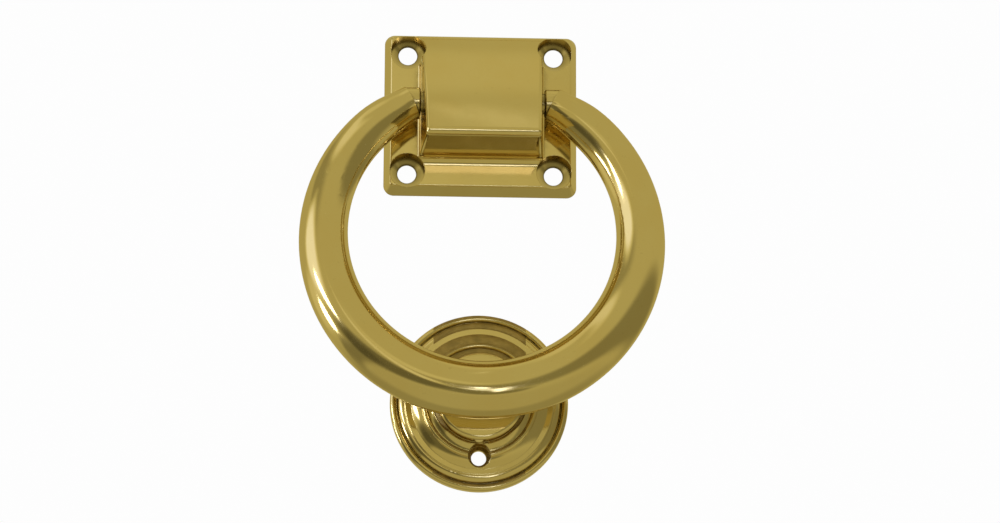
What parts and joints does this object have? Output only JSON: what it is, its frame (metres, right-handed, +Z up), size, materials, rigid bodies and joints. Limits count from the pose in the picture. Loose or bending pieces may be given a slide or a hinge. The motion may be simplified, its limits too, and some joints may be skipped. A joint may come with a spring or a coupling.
{
  "type": "door knocker",
  "caption": "Ring door knocker: a thick open ring swings from a hooded hinge plate and strikes the raised button of a round moulded plate below.",
  "frame": {"origin": "centre of the hinge plate's four screw holes, on the door's surface", "axes": "+Z up the door, +Y into the door (the fronts face -Y), +X to the right seen from the front"},
  "size_m": [0.105, 0.0305, 0.1363],
  "materials": {
    "plate_brass": "polished, lightly mellowed",
    "ring_brass": "polished, lightly mellowed",
    "button_brass": "polished, marked where the ring strikes",
    "pivot_brass": "turned, mellowed",
    "screw_steel": "turned, zinc plated"
  },
  "bodies": {
    "door_plates": {"hinge_plate": "plate_brass", "strike_plate": "plate_brass", "strike_button": "button_brass", "button_screw": "screw_steel"},
    "ring": {"knocker_ring": "ring_brass", "pivot_screw_left": "pivot_brass", "pivot_screw_right": "pivot_brass", "pivot_washer_left": "pivot_brass", "pivot_washer_right": "pivot_brass"}
  },
  "joints": [
    {"name": "ring_swing", "type": "hinge", "parent": "door_plates", "child": "ring", "pos_m": [0, -0.015, 0], "axis": [-1, 0, 0], "range_deg": [0, 172]}
  ]
}
